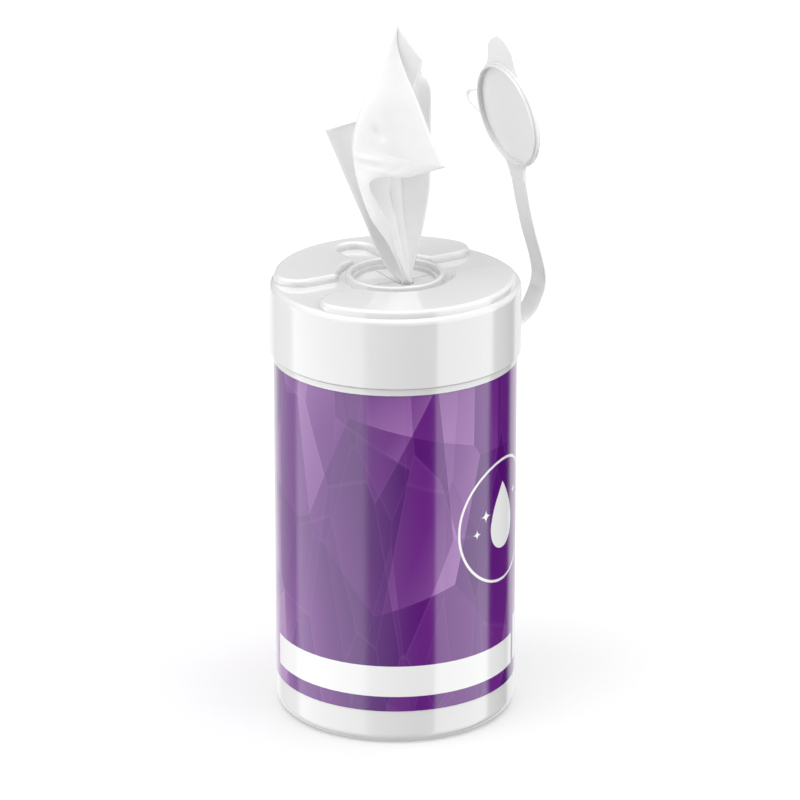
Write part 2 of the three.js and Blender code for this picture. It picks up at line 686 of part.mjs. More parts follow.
function pulledWipe() {
  const curves = Object.values(wipeLines).map(
    (line) => new THREE.CatmullRomCurve3(line.map((p) => new THREE.Vector3(...p)), false, "centripetal"),
  );
  const [rows, perStrip] = [46, 3];
  const columns = (curves.length - 1) * perStrip;
  const grid = [];
  for (let i = 0; i <= rows; i += 1) {
    const row = [];
    for (let j = 0; j <= columns; j += 1) row.push(wipePoint(curves, j / perStrip, i / rows));
    grid.push(row);
  }
  const at = (i, j) => grid[THREE.MathUtils.clamp(i, 0, rows)][THREE.MathUtils.clamp(j, 0, columns)];
  const faces = [[], []];
  grid.forEach((row, i) => {
    row.forEach((p, j) => {
      const across = at(i, j + 1).clone().sub(at(i, j - 1));
      const up = at(i + 1, j).clone().sub(at(i - 1, j));
      const normal = across.cross(up).normalize().multiplyScalar(wipeThickness / 2);
      faces[0].push(p.clone().add(normal));
      faces[1].push(p.clone().sub(normal));
    });
  });
  const wide = columns + 1;
  const count = (rows + 1) * wide;
  const index = [];
  const quad = (a, b, c, d) => index.push(a, b, c, a, c, d);
  for (let i = 0; i < rows; i += 1) {
    for (let j = 0; j < columns; j += 1) {
      const a = i * wide + j;
      quad(a, a + 1, a + wide + 1, a + wide);
      quad(count + a, count + a + wide, count + a + wide + 1, count + a + 1);
    }
    const [l, r] = [i * wide, i * wide + columns];
    quad(l, l + wide, count + l + wide, count + l);
    quad(r, count + r, count + r + wide, r + wide);
  }
  for (let j = 0; j < columns; j += 1) {
    const top = rows * wide + j;
    quad(j, count + j, count + j + 1, j + 1);
    quad(top, top + 1, count + top + 1, count + top);
  }
  const geometry = new THREE.BufferGeometry();
  const points = faces.flat().flatMap((p) => [p.x, p.y, p.z]);
  geometry.setAttribute("position", new THREE.BufferAttribute(new Float32Array(points), 3));
  geometry.setIndex(index);
  const made = solid(geometry);
  return made.volume() < 0 ? solid(flipped(geometry)) : made;
}

const pack = new THREE.Group();
pack.position.x = axisX;
pack.add(named("tub", tub(), finishes.tub));
pack.add(named("wrap_label", wrapLabel(), finishes.label));
pack.add(named("dispensing_cap", dispensingCap(), finishes.cap));
pack.add(named("wipe_roll", wipeRoll(), finishes.roll));

const lid = named("flip_lid", flipLid(), finishes.lid);
const lidOrigin = opened(0, lidSeat);
lid.position.set(lidOrigin.x, 0, lidOrigin.y);
lid.rotation.y = radians(openAngle);
pack.add(lid);
pack.add(named("lid_strap", lidStrap(), finishes.strap));

const wipe = named("pulled_wipe", pulledWipe(), finishes.wipe);
wipe.rotation.z = radians(frontTurn);
wipe.position.z = valveTop;
pack.add(wipe);

export default pack;
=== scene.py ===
"""The look of the tub of wipes: materials, the bending strap, the drawn wipe, light and camera."""

import math

import bpy
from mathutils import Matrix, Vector, noise


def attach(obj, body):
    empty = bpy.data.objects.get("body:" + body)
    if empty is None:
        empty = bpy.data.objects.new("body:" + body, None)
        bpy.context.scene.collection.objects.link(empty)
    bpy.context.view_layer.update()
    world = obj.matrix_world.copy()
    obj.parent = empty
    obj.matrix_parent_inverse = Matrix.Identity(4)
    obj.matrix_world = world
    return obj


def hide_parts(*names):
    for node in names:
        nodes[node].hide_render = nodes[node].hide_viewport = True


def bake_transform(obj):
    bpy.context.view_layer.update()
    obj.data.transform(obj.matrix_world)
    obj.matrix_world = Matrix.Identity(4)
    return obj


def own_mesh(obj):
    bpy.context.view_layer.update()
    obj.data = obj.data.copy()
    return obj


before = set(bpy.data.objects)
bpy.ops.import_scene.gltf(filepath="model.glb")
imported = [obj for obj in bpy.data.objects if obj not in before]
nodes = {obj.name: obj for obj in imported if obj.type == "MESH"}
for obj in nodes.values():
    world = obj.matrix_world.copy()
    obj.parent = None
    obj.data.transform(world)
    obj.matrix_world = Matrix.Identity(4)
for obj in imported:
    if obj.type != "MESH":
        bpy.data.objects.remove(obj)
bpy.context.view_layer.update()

MM = 0.001
AXIS_X = -8  # the tub's axis
VIEW_TURN = math.radians(-30)  # from the direction of the strap to the picture's left-to-right
CREASE_ANGLE = 32  # degrees
FLAT_ANGLE = 0.3  # facets that differ by less count as one flat face

# Camera
LENS = 217.3
CAMERA_PLACE = (-837.36, -1440.05, 728.78)
CAMERA_FORWARD = (0.4693, 0.8129, -0.3450)

# Strap, from the cap's root to the lid
STRAP_WIDTH = 9.5
STRAP_THICKNESS = 1.1
STRAP_BEND = (0.33, 0.2)  # middle and half length of its tight bend, in shares of its length
STRAP_SWELL = 0.35  # how much wider each side is there
STRAP_THINNING = 0.18  # share of its thickness that is missing there
STRAP_CORNERS = (0.25, 0.6)  # squareness of its section, across and through
STRAP_SINK = (0.5, 0.3)  # how far it runs on from its root into the cap, and into the lid's neck
STRAP_STEPS, STRAP_AROUND = 96, 20
HINGE = (55.2, 165.25)
OPEN_ANGLE = math.radians(79.6)
LID_NECK_REACH = 25.5
LID_NECK_MIDDLE = 167.5  # height of the neck's middle with the lid shut
STRAP_ROOT = (48.4, 139.9)
STRAP_BULGE = 12.9
STRAP_CLIMB = 46.1
STRAP_ROUTE = (
    (0, 0), (0.24, 0.004), (0.62, 0.082), (0.837, 0.18), (0.953, 0.262), (1, 0.349), (0.93, 0.469),
    (0.822, 0.581), (0.667, 0.718), (0.419, 1),
)  # shares of the bulge and of the climb

# Wipe
VALVE_TOP = 163.9
WIPE_TURN = VIEW_TURN
WIPE_THICKNESS = 0.35
WIPE_ROWS, WIPE_COLUMNS = 150, 18  # the columns are those between two lines
RIPPLE = 0.5
RIPPLE_SCALE = (0.09, 3.1, 0.06)  # across, from strip to strip, and upwards
FULL_WIDTH = 20  # strips narrower than this bow less
FULL_HEIGHT = 20  # below this height the ripples fade out
GATHER_ABOVE, GATHER_BELOW = 1.1, 3.0  # heights over which the wipe spreads out of the valve's hole


def turned(x, y, angle):
    """A point turned about the tub's axis."""
    return (x * math.cos(angle) - y * math.sin(angle), x * math.sin(angle) + y * math.cos(angle))


def place(x, y, z):
    """A point about the tub's axis, in millimetres, as a point of the frame, in metres."""
    return Vector(((x + AXIS_X) * MM, y * MM, z * MM))


def new_object(name, vertices, faces):
    mesh = bpy.data.meshes.new(name)
    mesh.from_pydata(vertices, [], faces)
    mesh.validate()
    mesh.shade_smooth()
    obj = bpy.data.objects.new(name, mesh)
    bpy.context.scene.collection.objects.link(obj)
    return obj


def crease_group():
    """Geometry nodes that shade every face smooth and keep the edges over CREASE_ANGLE sharp."""
    tree = bpy.data.node_groups.new("crease", "GeometryNodeTree")
    tree.interface.new_socket("Geometry", in_out="INPUT", socket_type="NodeSocketGeometry")
    tree.interface.new_socket("Geometry", in_out="OUTPUT", socket_type="NodeSocketGeometry")
    start = tree.nodes.new("NodeGroupInput")
    smooth = tree.nodes.new("GeometryNodeSetShadeSmooth")
    sharp = tree.nodes.new("GeometryNodeSetShadeSmooth")
    sharp.domain = "EDGE"
    sharp.inputs["Shade Smooth"].default_value = False
    angle = tree.nodes.new("GeometryNodeInputMeshEdgeAngle")
    over = tree.nodes.new("FunctionNodeCompare")
    over.inputs["B"].default_value = math.radians(CREASE_ANGLE)
    end = tree.nodes.new("NodeGroupOutput")
    tree.links.new(start.outputs[0], smooth.inputs["Geometry"])
    tree.links.new(smooth.outputs[0], sharp.inputs["Geometry"])
    tree.links.new(angle.outputs["Unsigned Angle"], over.inputs["A"])
    tree.links.new(over.outputs[0], sharp.inputs["Selection"])
    tree.links.new(sharp.outputs[0], end.inputs[0])
    return tree


def even_shading(obj):
    """Smooth shading with crisp edges, worked out by modifiers so that the mesh stays as it is."""
    weld = obj.modifiers.new("weld", "WELD")
    weld.merge_threshold = 1e-6
    flats = obj.modifiers.new("whole_flats", "DECIMATE")
    flats.decimate_type = "DISSOLVE"
    flats.angle_limit = math.radians(FLAT_ANGLE)
    crease = obj.modifiers.new("crease", "NODES")
    crease.node_group = creases
    even = obj.modifiers.new("even_normals", "WEIGHTED_NORMAL")
    even.weight = 90
    even.keep_sharp = True


def catmull_rom(points, t):
    """A point of the centripetal spline through the points, t from 0 to 1."""
    count = len(points) - 1
    at = min(t * count, count - 1e-9)
    i = int(at)
    u = at - i
    p1, p2 = points[i], points[i + 1]
    p0 = points[i - 1] if i > 0 else p1 * 2 - p2
    p3 = points[i + 2] if i + 2 <= count else p2 * 2 - p1
    d0 = max((p1 - p0).length ** 0.5, 1e-6)
    d1 = max((p2 - p1).length ** 0.5, 1e-6)
    d2 = max((p3 - p2).length ** 0.5, 1e-6)
    m1 = ((p1 - p0) / d0 - (p2 - p0) / (d0 + d1) + (p2 - p1) / d1) * d1
    m2 = ((p2 - p1) / d1 - (p3 - p1) / (d1 + d2) + (p3 - p2) / d2) * d1
    u2, u3 = u * u, u * u * u
    return p1 * (2 * u3 - 3 * u2 + 1) + m1 * (u3 - 2 * u2 + u) + p2 * (3 * u2 - 2 * u3) + m2 * (u3 - u2)


# Materials


class Nodes:
    """A small helper that adds and joins a material's nodes."""

    def __init__(self, tree):
        self.tree = tree

    def add(self, kind, **values):
        node = self.tree.nodes.new(kind)
        for name, value in values.items():
            setattr(node, name, value)
        return node

    def join(self, source, target):
        self.tree.links.new(source, target)

    def put(self, value, socket):
        if isinstance(value, bpy.types.NodeSocket):
            self.join(value, socket)
        else:
            socket.default_value = value

    def math(self, operation, a, b=0.0, c=0.0, clamp=False):
        node = self.add("ShaderNodeMath", operation=operation, use_clamp=clamp)
        for value, socket in zip((a, b, c), node.inputs):
            self.put(value, socket)
        return node.outputs[0]

    def dot(self, a, b):
        node = self.add("ShaderNodeVectorMath", operation="DOT_PRODUCT")
        self.put(a, node.inputs[0])
        self.put(b, node.inputs[1])
        return node.outputs["Value"]

    def ramp(self, value, low, high, start=0.0, end=1.0):
        """Rises smoothly from start to end as the value goes from low to high."""
        node = self.add("ShaderNodeMapRange", interpolation_type="SMOOTHSTEP", clamp=True)
        names = ("Value", "From Min", "From Max", "To Min", "To Max")
        for name, amount in zip(names, (value, low, high, start, end)):
            self.put(amount, node.inputs[name])
        return node.outputs["Result"]

    def mix(self, factor, a, b):
        node = self.add("ShaderNodeMix", data_type="RGBA", clamp_factor=True)
        self.put(factor, node.inputs[0])
        self.put(a, node.inputs[6])
        self.put(b, node.inputs[7])
        return node.outputs[2]

    def noise(self, vector, scale, detail=3.0, roughness=0.5):
        node = self.add("ShaderNodeTexNoise", noise_dimensions="3D")
        self.put(vector, node.inputs["Vector"])
        node.inputs["Scale"].default_value = scale
        node.inputs["Detail"].default_value = detail
        node.inputs["Roughness"].default_value = roughness
        return node.outputs["Fac"]

    def bump(self, height, strength, distance, normal=None):
        node = self.add("ShaderNodeBump")
        node.inputs["Strength"].default_value = strength
        node.inputs["Distance"].default_value = distance
        self.join(height, node.inputs["Height"])
        if normal is not None:
            self.join(normal, node.inputs["Normal"])
        return node.outputs["Normal"]


def new_material(name):
    material = bpy.data.materials.new(name)
    material.use_nodes = True
    tree = material.node_tree
    shader = tree.nodes["Principled BSDF"]
    return material, Nodes(tree), shader


def use(obj, material):
    obj.data.materials.clear()
    obj.data.materials.append(material)


def glossy_plastic(name, tone, roughness, waviness):
    """White moulded plastic: glossy, with a faint flow of tone and the slight waviness of a mould."""
    material, n, shader = new_material(name)
    where = n.add("ShaderNodeTexCoord").outputs["Object"]
    flow = n.noise(where, 30.0, 2.0)
    dark = tuple(0.97 * c for c in tone) + (1,)
    n.join(n.mix(flow, dark, tuple(tone) + (1,)), shader.inputs["Base Color"])
    rough = n.ramp(n.noise(where, 220.0), 0.3, 0.7, roughness * 0.85, roughness * 1.15)
    n.join(rough, shader.inputs["Roughness"])
    n.join(n.bump(n.noise(where, 45.0, 1.0), 0.25, waviness * MM), shader.inputs["Normal"])
    shader.inputs["IOR"].default_value = 1.52
    shader.inputs["Coat Weight"].default_value = 0.9
    shader.inputs["Coat Roughness"].default_value = 0.06
    return material


LABEL_DEEP = (0.083, 0.004, 0.155, 1)
LABEL_MID = (0.144, 0.021, 0.222, 1)
LABEL_LIGHT = (0.335, 0.15, 0.415, 1)
LABEL_WHITE = (0.8, 0.8, 0.8, 1)
LABEL_TONE = 0.4  # middle of the facets' tones, from deep (0) to light (1)

# The label's layers of facets: size in mm, stretch, turn in degrees, share of tone, slope of tone
# across a facet, and strength of the light line along its border
FACETS = [
    (46, 1.4, 24, 0.44, 0.6, 0.04),
    (25, 3.2, 58, 0.4, 0.55, 0.1),
    (23, 3.6, -36, 0.36, 0.55, 0.08),
    (17, 4.2, 8, 0.22, 0.4, 0.06),
]
FACET_LINE = 0.35  # mm
FACET_SHIFT = (1 / 7, 0.3 / 7)  # moves each layer by a share of its turn
FACET_LEAN = 4

# The print, in mm along the label from the middle of its front and up from the floor
LABEL_RADIUS = 44.5
BAND = (18.8, 30.8)  # the white band's lower and upper edge
BAND_REACH = 57.5  # each way from the label's middle
BAND_EDGE = 0.1  # softness
SIDE_BAND = (60.5, 96)
SIDE_BAND_RISE = 6  # its upper edge is this much higher
CIRCLE = (47.8, 79.6)
CIRCLE_RADIUS = 23.4
CIRCLE_LINE = 0.5
CIRCLE_EDGE = 0.12
DROP_FOOT = 11  # its lowest point, below the circle's middle
DROP_HEIGHT = 26
DROP_FULLNESS = 20.5
DROP_EDGE = 0.3
STARS = ((-10.6, 4.2, 2.9), (-15.2, -1.8, 2.2), (11.0, 8.0, 2.4))  # from the circle's middle, and size
STAR_EDGE = 0.06


def facets(n, flat, size, stretch, turn, slope):
    """Straight-sided cells over the flat label: each with a tone and a slope of its own, and its edges."""
    lay = n.add("ShaderNodeMapping")
    lay.inputs["Rotation"].default_value = (0, 0, math.radians(turn))
    lay.inputs["Location"].default_value = (turn * FACET_SHIFT[0], turn * FACET_SHIFT[1], 0)
    lay.inputs["Scale"].default_value = (1 / size, 1 / (size * stretch), 1)
    n.join(flat, lay.inputs["Vector"])
    cells = n.add("ShaderNodeTexVoronoi", voronoi_dimensions="2D", feature="F1")
    borders = n.add("ShaderNodeTexVoronoi", voronoi_dimensions="2D", feature="DISTANCE_TO_EDGE")
    for texture in (cells, borders):
        texture.inputs["Scale"].default_value = 1.0
        n.join(lay.outputs[0], texture.inputs["Vector"])
    away = n.add("ShaderNodeVectorMath", operation="SUBTRACT")
    n.join(lay.outputs[0], away.inputs[0])
    n.join(cells.outputs["Position"], away.inputs[1])
    lean = n.add("ShaderNodeVectorMath", operation="SUBTRACT")
    n.join(cells.outputs["Color"], lean.inputs[0])
    lean.inputs[1].default_value = (0.5, 0.5, 0.5)
    rise = n.math("MULTIPLY", n.dot(away.outputs[0], lean.outputs[0]), slope * FACET_LEAN)
    split = n.add("ShaderNodeSeparateColor")
    n.join(cells.outputs["Color"], split.inputs[0])
    level = n.math("ADD", n.math("SUBTRACT", split.outputs[2], 0.5), rise)
    edge = n.ramp(borders.outputs["Distance"], 0.0, FACET_LINE / size, 1.0, 0.0)
    return level, edge


def label_place(n, where):
    """How far a point of the label is from the middle of its front, along it, and how far up."""
    about = n.add("ShaderNodeVectorMath", operation="SUBTRACT")
    n.join(where, about.inputs[0])
    about.inputs[1].default_value = (AXIS_X * MM, 0, 0)
    right = n.dot(about.outputs[0], (math.cos(VIEW_TURN), math.sin(VIEW_TURN), 0))
    near = n.dot(about.outputs[0], (math.sin(VIEW_TURN), -math.cos(VIEW_TURN), 0))
    s = n.math("MULTIPLY", n.math("ARCTAN2", right, near), LABEL_RADIUS)
    z = n.math("MULTIPLY", n.dot(about.outputs[0], (0, 0, 1)), 1 / MM)
    return s, z


def shards(n, s, z):
    """Layers of facets over each other, from deep to light purple."""
    flat = n.add("ShaderNodeCombineXYZ")
    n.join(s, flat.inputs[0])
    n.join(z, flat.inputs[1])
    tone, lines = LABEL_TONE, 0.0
    for size, stretch, turn, share, slope, strength in FACETS:
        level, edge = facets(n, flat.outputs[0], size, stretch, turn, slope)
        tone = n.math("MULTIPLY_ADD", level, share, tone)
        lines = n.math("MULTIPLY_ADD", edge, strength, lines)
    tones = n.add("ShaderNodeValToRGB")
    stops = tones.color_ramp.elements
    stops[0].color = LABEL_DEEP
    stops[1].color = LABEL_LIGHT
    stops.new(0.5).color = LABEL_MID
    n.join(tone, tones.inputs[0])
    return n.mix(lines, tones.outputs[0], LABEL_LIGHT)


def ring(n, ds, dz):
    reach = n.math("SQRT", n.math("ADD", n.math("POWER", ds, 2.0), n.math("POWER", dz, 2.0)))
    away = n.math("ABSOLUTE", n.math("SUBTRACT", reach, CIRCLE_RADIUS))
    return n.ramp(away, CIRCLE_LINE - CIRCLE_EDGE, CIRCLE_LINE + CIRCLE_EDGE, 1.0, 0.0)


def drop(n, ds, dz):
    """A round foot whose sides close to a point above it."""
    rise = n.math("DIVIDE", n.math("ADD", dz, DROP_FOOT), DROP_HEIGHT, clamp=True)
    taper = n.math("MULTIPLY", n.math("SUBTRACT", 1.0, rise), DROP_FULLNESS)
    half = n.math("MULTIPLY", n.math("SQRT", rise), taper)
    return n.ramp(n.math("SUBTRACT", n.math("ABSOLUTE", ds), half), -DROP_EDGE, 0.0, 1.0, 0.0)


def star(n, ds, dz, star_s, star_z, size):
    """A four-pointed star with hollow sides."""
    a = n.math("SQRT", n.math("ABSOLUTE", n.math("SUBTRACT", ds, star_s)))
    b = n.math("SQRT", n.math("ABSOLUTE", n.math("SUBTRACT", dz, star_z)))
    reach = math.sqrt(size)
    return n.ramp(n.math("ADD", a, b), reach - STAR_EDGE, reach + STAR_EDGE, 1.0, 0.0)


def between(n, value, low, high):
    start = n.ramp(value, low - BAND_EDGE, low + BAND_EDGE)
    stop = n.ramp(value, high - BAND_EDGE, high + BAND_EDGE, 1.0, 0.0)
    return n.math("MULTIPLY", start, stop)


def white_print(n, s, z):
    """The white band, the higher one at its side, and the ring with its drop and stars."""
    ds = n.math("SUBTRACT", s, CIRCLE[0])
    dz = n.math("SUBTRACT", z, CIRCLE[1])
    shapes = [ring(n, ds, dz), drop(n, ds, dz)]
    shapes += [star(n, ds, dz, *sizes) for sizes in STARS]
    side_top = BAND[1] + SIDE_BAND_RISE
    for low_s, high_s, low_z, high_z in ((-BAND_REACH, BAND_REACH, *BAND), (*SIDE_BAND, BAND[0], side_top)):
        shapes.append(n.math("MULTIPLY", between(n, s, low_s, high_s), between(n, z, low_z, high_z)))
    white = shapes[0]
    for shape in shapes[1:]:
        white = n.math("MAXIMUM", white, shape)
    return white


def label_film():
    """Glossy printed film: purple shards, a white band and a ringed drop, all in generic shapes."""
    material, n, shader = new_material("label_film")
    where = n.add("ShaderNodeTexCoord").outputs["Object"]
    s, z = label_place(n, where)
    n.join(n.mix(white_print(n, s, z), shards(n, s, z), LABEL_WHITE), shader.inputs["Base Color"])
    n.join(n.ramp(n.noise(where, 90.0), 0.3, 0.7, 0.12, 0.17), shader.inputs["Roughness"])
    n.join(n.bump(n.noise(where, 40.0, 1.0), 0.2, 0.05 * MM), shader.inputs["Normal"])
    shader.inputs["IOR"].default_value = 1.5
    shader.inputs["Coat Weight"].default_value = 0.65
    shader.inputs["Coat Roughness"].default_value = 0.07
    return material


def nonwoven(name, tone):
    """Thin white nonwoven cloth: tiny bonded dimples over a tangle of fibres, and a soft sheen."""
    material, n, shader = new_material(name)
    where = n.add("ShaderNodeTexCoord").outputs["Object"]
    stretch = n.add("ShaderNodeMapping")
    stretch.inputs["Scale"].default_value = (1.0, 1.0, 0.35)
    n.join(where, stretch.inputs["Vector"])
    fibres = n.noise(stretch.outputs[0], 2600.0, 5.0, 0.65)
    cloud = n.noise(where, 160.0, 3.0)
    dark = tuple(0.975 * c for c in tone) + (1,)
    n.join(n.mix(n.ramp(cloud, 0.3, 0.7), dark, tuple(tone) + (1,)), shader.inputs["Base Color"])
    dimples = n.add("ShaderNodeTexVoronoi", feature="F1")
    n.join(where, dimples.inputs["Vector"])
    dimples.inputs["Scale"].default_value = 900.0
    pressed = n.bump(dimples.outputs["Distance"], 0.35, 0.06 * MM)
    n.join(n.bump(fibres, 0.4, 0.08 * MM, pressed), shader.inputs["Normal"])
    shader.inputs["Roughness"].default_value = 0.85
    shader.inputs["Sheen Weight"].default_value = 0.25
    shader.inputs["Sheen Roughness"].default_value = 0.5
    return material


creases = crease_group()
tub_plastic = glossy_plastic("tub_plastic", (0.69, 0.69, 0.69), 0.18, 0.12)
cap_plastic = glossy_plastic("cap_plastic", (0.705, 0.705, 0.705), 0.16, 0.08)
# Painted light: the lid and its strap are the same moulded plastic as the cap, but get a lighter tone here
# that stands in for the brighter light they catch.
lid_plastic_painted_lighter = glossy_plastic("lid_plastic_painted_lighter", (0.81, 0.81, 0.81), 0.16, 0.08)
film = label_film()
cloth = nonwoven("wipe_cloth", (0.8, 0.8, 0.8))

for node_name, finish in (
    ("tub", tub_plastic),
    ("dispensing_cap", cap_plastic),
    ("flip_lid", lid_plastic_painted_lighter),
    ("wrap_label", film),
    ("wipe_roll", cloth),
):
    use(nodes[node_name], finish)
    even_shading(nodes[node_name])


# Strap


def opened(x, z):
    """A point given with the lid shut, as it lies with the lid open."""
    dx, dz = x - HINGE[0], z - HINGE[1]
    cos, sin = math.cos(OPEN_ANGLE), math.sin(OPEN_ANGLE)
    return (HINGE[0] + dx * cos + dz * sin, HINGE[1] - dx * sin + dz * cos)


def make_strap():
    """A flat strap: wider and thinner at its bend, with rounded edges."""
    x0, z0 = STRAP_ROOT
    route = [(x0 + out * STRAP_BULGE, z0 + up * STRAP_CLIMB) for out, up in STRAP_ROUTE]
    route[0] = (x0 - STRAP_SINK[0], z0)
    route.append(opened(LID_NECK_REACH - STRAP_SINK[1], LID_NECK_MIDDLE))
    line = [Vector((x, 0, z)) for x, z in route]
    steps, around = STRAP_STEPS, STRAP_AROUND
    vertices, faces = [], []
    for i in range(steps + 1):
        t = i / steps
        p = catmull_rom(line, t)
        ahead = (catmull_rom(line, min(t + 0.004, 1)) - catmull_rom(line, max(t - 0.004, 0))).normalized()
        side = Vector((-ahead.z, 0, ahead.x))
        bend = math.exp(-(((t - STRAP_BEND[0]) / STRAP_BEND[1]) ** 2))
        half = STRAP_WIDTH / 2 + STRAP_SWELL * bend
        thick = STRAP_THICKNESS / 2 * (1 - STRAP_THINNING * bend)
        for k in range(around):
            a = 2 * math.pi * k / around
            c, s = math.cos(a), math.sin(a)
            across = half * math.copysign(abs(c) ** STRAP_CORNERS[0], c)
            deep = thick * math.copysign(abs(s) ** STRAP_CORNERS[1], s)
            q = p + side * deep
            vertices.append(place(q.x, across, q.z))
    for i in range(steps):
        for k in range(around):
            a, b = i * around + k, i * around + (k + 1) % around
            faces.append((a, b, b + around, a + around))
    faces.append(tuple(range(around))[::-1])
    faces.append(tuple(steps * around + k for k in range(around)))
    strap = new_object("bending_strap", vertices, faces)
    # The strap takes the lid's plastic, with its lighter tone of painted light.
    use(strap, lid_plastic_painted_lighter)
    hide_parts("lid_strap")
    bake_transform(strap)
    return strap


# Wipe: each line runs up one edge or fold of the sheet, from inside the roll to its top
WIPE_LINES = {
    "left_edge": [
        (0, 1.2, -46), (0.4, 1, -22), (2.2, 0, -6), (2.8, -0.3, -0.3), (-0.9, 0.6, 2.3), (-4.1, 1.6, 6.3),
        (-6.7, 2.5, 11.1), (-7.1, 2.6, 11.9), (-7.5, 2.7, 12.8), (-9.9, 3.5, 18.5), (-12.8, 4.4, 25.7),
        (-15.3, 5, 31.2), (-17.4, 5.6, 36.2), (-19.7, 6.2, 41.6), (-21.8, 6.8, 46.8), (-23.7, 7.4, 51.1),
        (-25, 7.9, 54.4), (-25.3, 8, 54.9), (-24.6, 8.1, 55.1), (-20.4, 8.4, 56.4), (-13.8, 8.6, 58.3),
        (-7.2, 8, 61.9), (0.3, 6, 68.4), (5.4, 4, 72.9),
    ],
    "right_fold": [
        (5, 0.8, -46), (5, 0.6, -22), (5.2, -0.7, -6), (5.3, -0.9, 0), (6.5, -0.4, 5.9), (7.8, 0.2, 10.7),
        (8.7, 0.6, 14.4), (8.8, 0.7, 15), (9, 0.7, 15.6), (9.8, 1, 19.4), (10.6, 1.3, 23.7),
        (11.4, 1.5, 28.4), (12, 1.5, 32), (12.4, 1.5, 36), (12.6, 1.5, 39.9), (12.7, 1.5, 44.3),
        (12.7, 1.5, 48.5), (12.7, 1.5, 49.2), (12.7, 1.5, 50.2), (12.8, 1.5, 56.1), (12.8, 1.5, 62.9),
        (12.7, 1.8, 72), (11.5, 2.4, 75.5), (9.5, 3, 78.4),
    ],
    "pleat_back": [
        (4.4, 0, -46), (4.6, -0.1, -22), (4.8, -1.3, -6), (5, -1.5, 0.2), (4.9, -0.8, 6.1),
        (4.6, -0.2, 11.3), (4.1, 0.2, 15.5), (4, 0.3, 16.1), (3.9, 0.3, 16.8), (3.5, 0.6, 21),
        (2.9, 0.8, 25.9), (2.5, 0.8, 30.3), (2.3, 0.8, 34.2), (2.1, 0.8, 38.2), (2, 0.7, 42.1),
        (1.9, 0.6, 46.6), (1.9, 0.4, 50.8), (1.9, 0.4, 51.5), (2, 0.4, 52.5), (2.3, 0.2, 58.4),
        (3.1, 0, 65.8), (5.4, 0, 71.6), (7.7, 0.2, 76.1), (9.3, 0.6, 79.4),
    ],
    "pleat_front": [
        (3.6, -0.8, -46), (3.8, -0.9, -22), (4.2, -1.9, -6), (4.6, -2.1, 0.5), (3.6, -1.6, 6.3),
        (2.5, -1.2, 11.7), (1.6, -1, 15.9), (1.5, -1, 16.6), (1.3, -1, 17.2), (0.4, -0.9, 21.5),
        (-0.5, -0.9, 26.4), (-1.3, -1, 30.9), (-1.9, -1.2, 34.9), (-2.2, -1.4, 38.9), (-1.9, -1.7, 42.9),
        (-0.9, -2.1, 47.4), (0.5, -2.5, 51.8), (0.7, -2.6, 52.5), (1, -2.7, 53.4), (2.9, -3, 59.4),
        (4.9, -3.2, 66.7), (6.6, -3.2, 73.5), (8.3, -3.2, 79.8), (9.6, -3, 84.6),
    ],
    "left_fold": [
        (0, -1.7, -46), (0.6, -1.8, -22), (2.9, -2.5, -6), (3.3, -2.7, 0.8), (0.6, -3, 8.5),
        (-2.3, -3.5, 15.1), (-4.9, -4, 19.6), (-5.4, -4.1, 20.3), (-5.8, -4.2, 21), (-8.4, -4.8, 25.2),
        (-11, -5.6, 31.9), (-13, -6.4, 38.5), (-14.1, -7, 43.1), (-14.7, -7.4, 46.1), (-15, -7.7, 48.7),
        (-15.4, -8, 51.7), (-15.5, -8.3, 54.3), (-15.5, -8.3, 54.7), (-15.4, -8.3, 55.5),
        (-14.4, -8.4, 60.6), (-11.3, -7.6, 70.5), (-6.7, -6, 81.6), (-3, -4.8, 89.9), (0.7, -4, 97.6),
    ],
    "right_edge": [
        (4.4, -2.6, -46), (4.4, -2.8, -22), (4.4, -3.1, -6), (4.4, -3.3, 1.3), (2.3, -4.2, 7.9),
        (-0.1, -5.2, 14.5), (-1.2, -6.4, 21.8), (-1.4, -6.6, 22.9), (-1.8, -6.8, 23.7), (-4, -8, 28),
        (-6.6, -9.6, 33.3), (-8.9, -11.4, 38.6), (-8.7, -12.6, 42.1), (-3.4, -13.6, 44.2), (4, -14, 44.1),
        (11.4, -14, 45.9), (17, -13.7, 47.5), (17.9, -13.6, 47.8), (17.2, -13.4, 49.3), (13, -12, 58.3),
        (8, -9.6, 71.1), (2.6, -7, 84), (0.6, -5.6, 91.6), (0.9, -4.4, 97.5),
    ],
}
WIPE_BOWS = (3, 0.6, -0.5, -1.2, -3)  # how far each stretch between two lines bows
VALVE_MIDDLE = (4.2, -1.8)  # the middle of the hole in the valve
# Where each line passes through the hole, from its middle
FOOT = ((-2.0, 0.9), (2.0, 0.8), (2.1, 0.1), (0.2, -0.3), (-2.1, -0.6), (2.0, -1.1))
# Dents in the front flap: middle (left to right, height), turn in degrees, half length, half width, depth
DENTS = (
    (-6.0, 59.8, -48, 4.2, 1.2, 1.5),
    (-3.2, 56.6, -60, 3.0, 0.9, -1.1),
    (-9.5, 50.2, -4, 5.2, 1.0, -0.75),
    (-10.0, 47.9, -8, 4.2, 0.9, 0.65),
    (0.5, 47.0, 30, 3.0, 1.0, 0.5),
)


def dent(p, x, z, turn, half_length, half_width, depth):
    """How far a dent moves a point of the flap backwards."""
    along, over = turned(p.x - x, p.z - z, -math.radians(turn))
    return depth * math.exp(-((along / half_length) ** 2) - (over / half_width) ** 2)


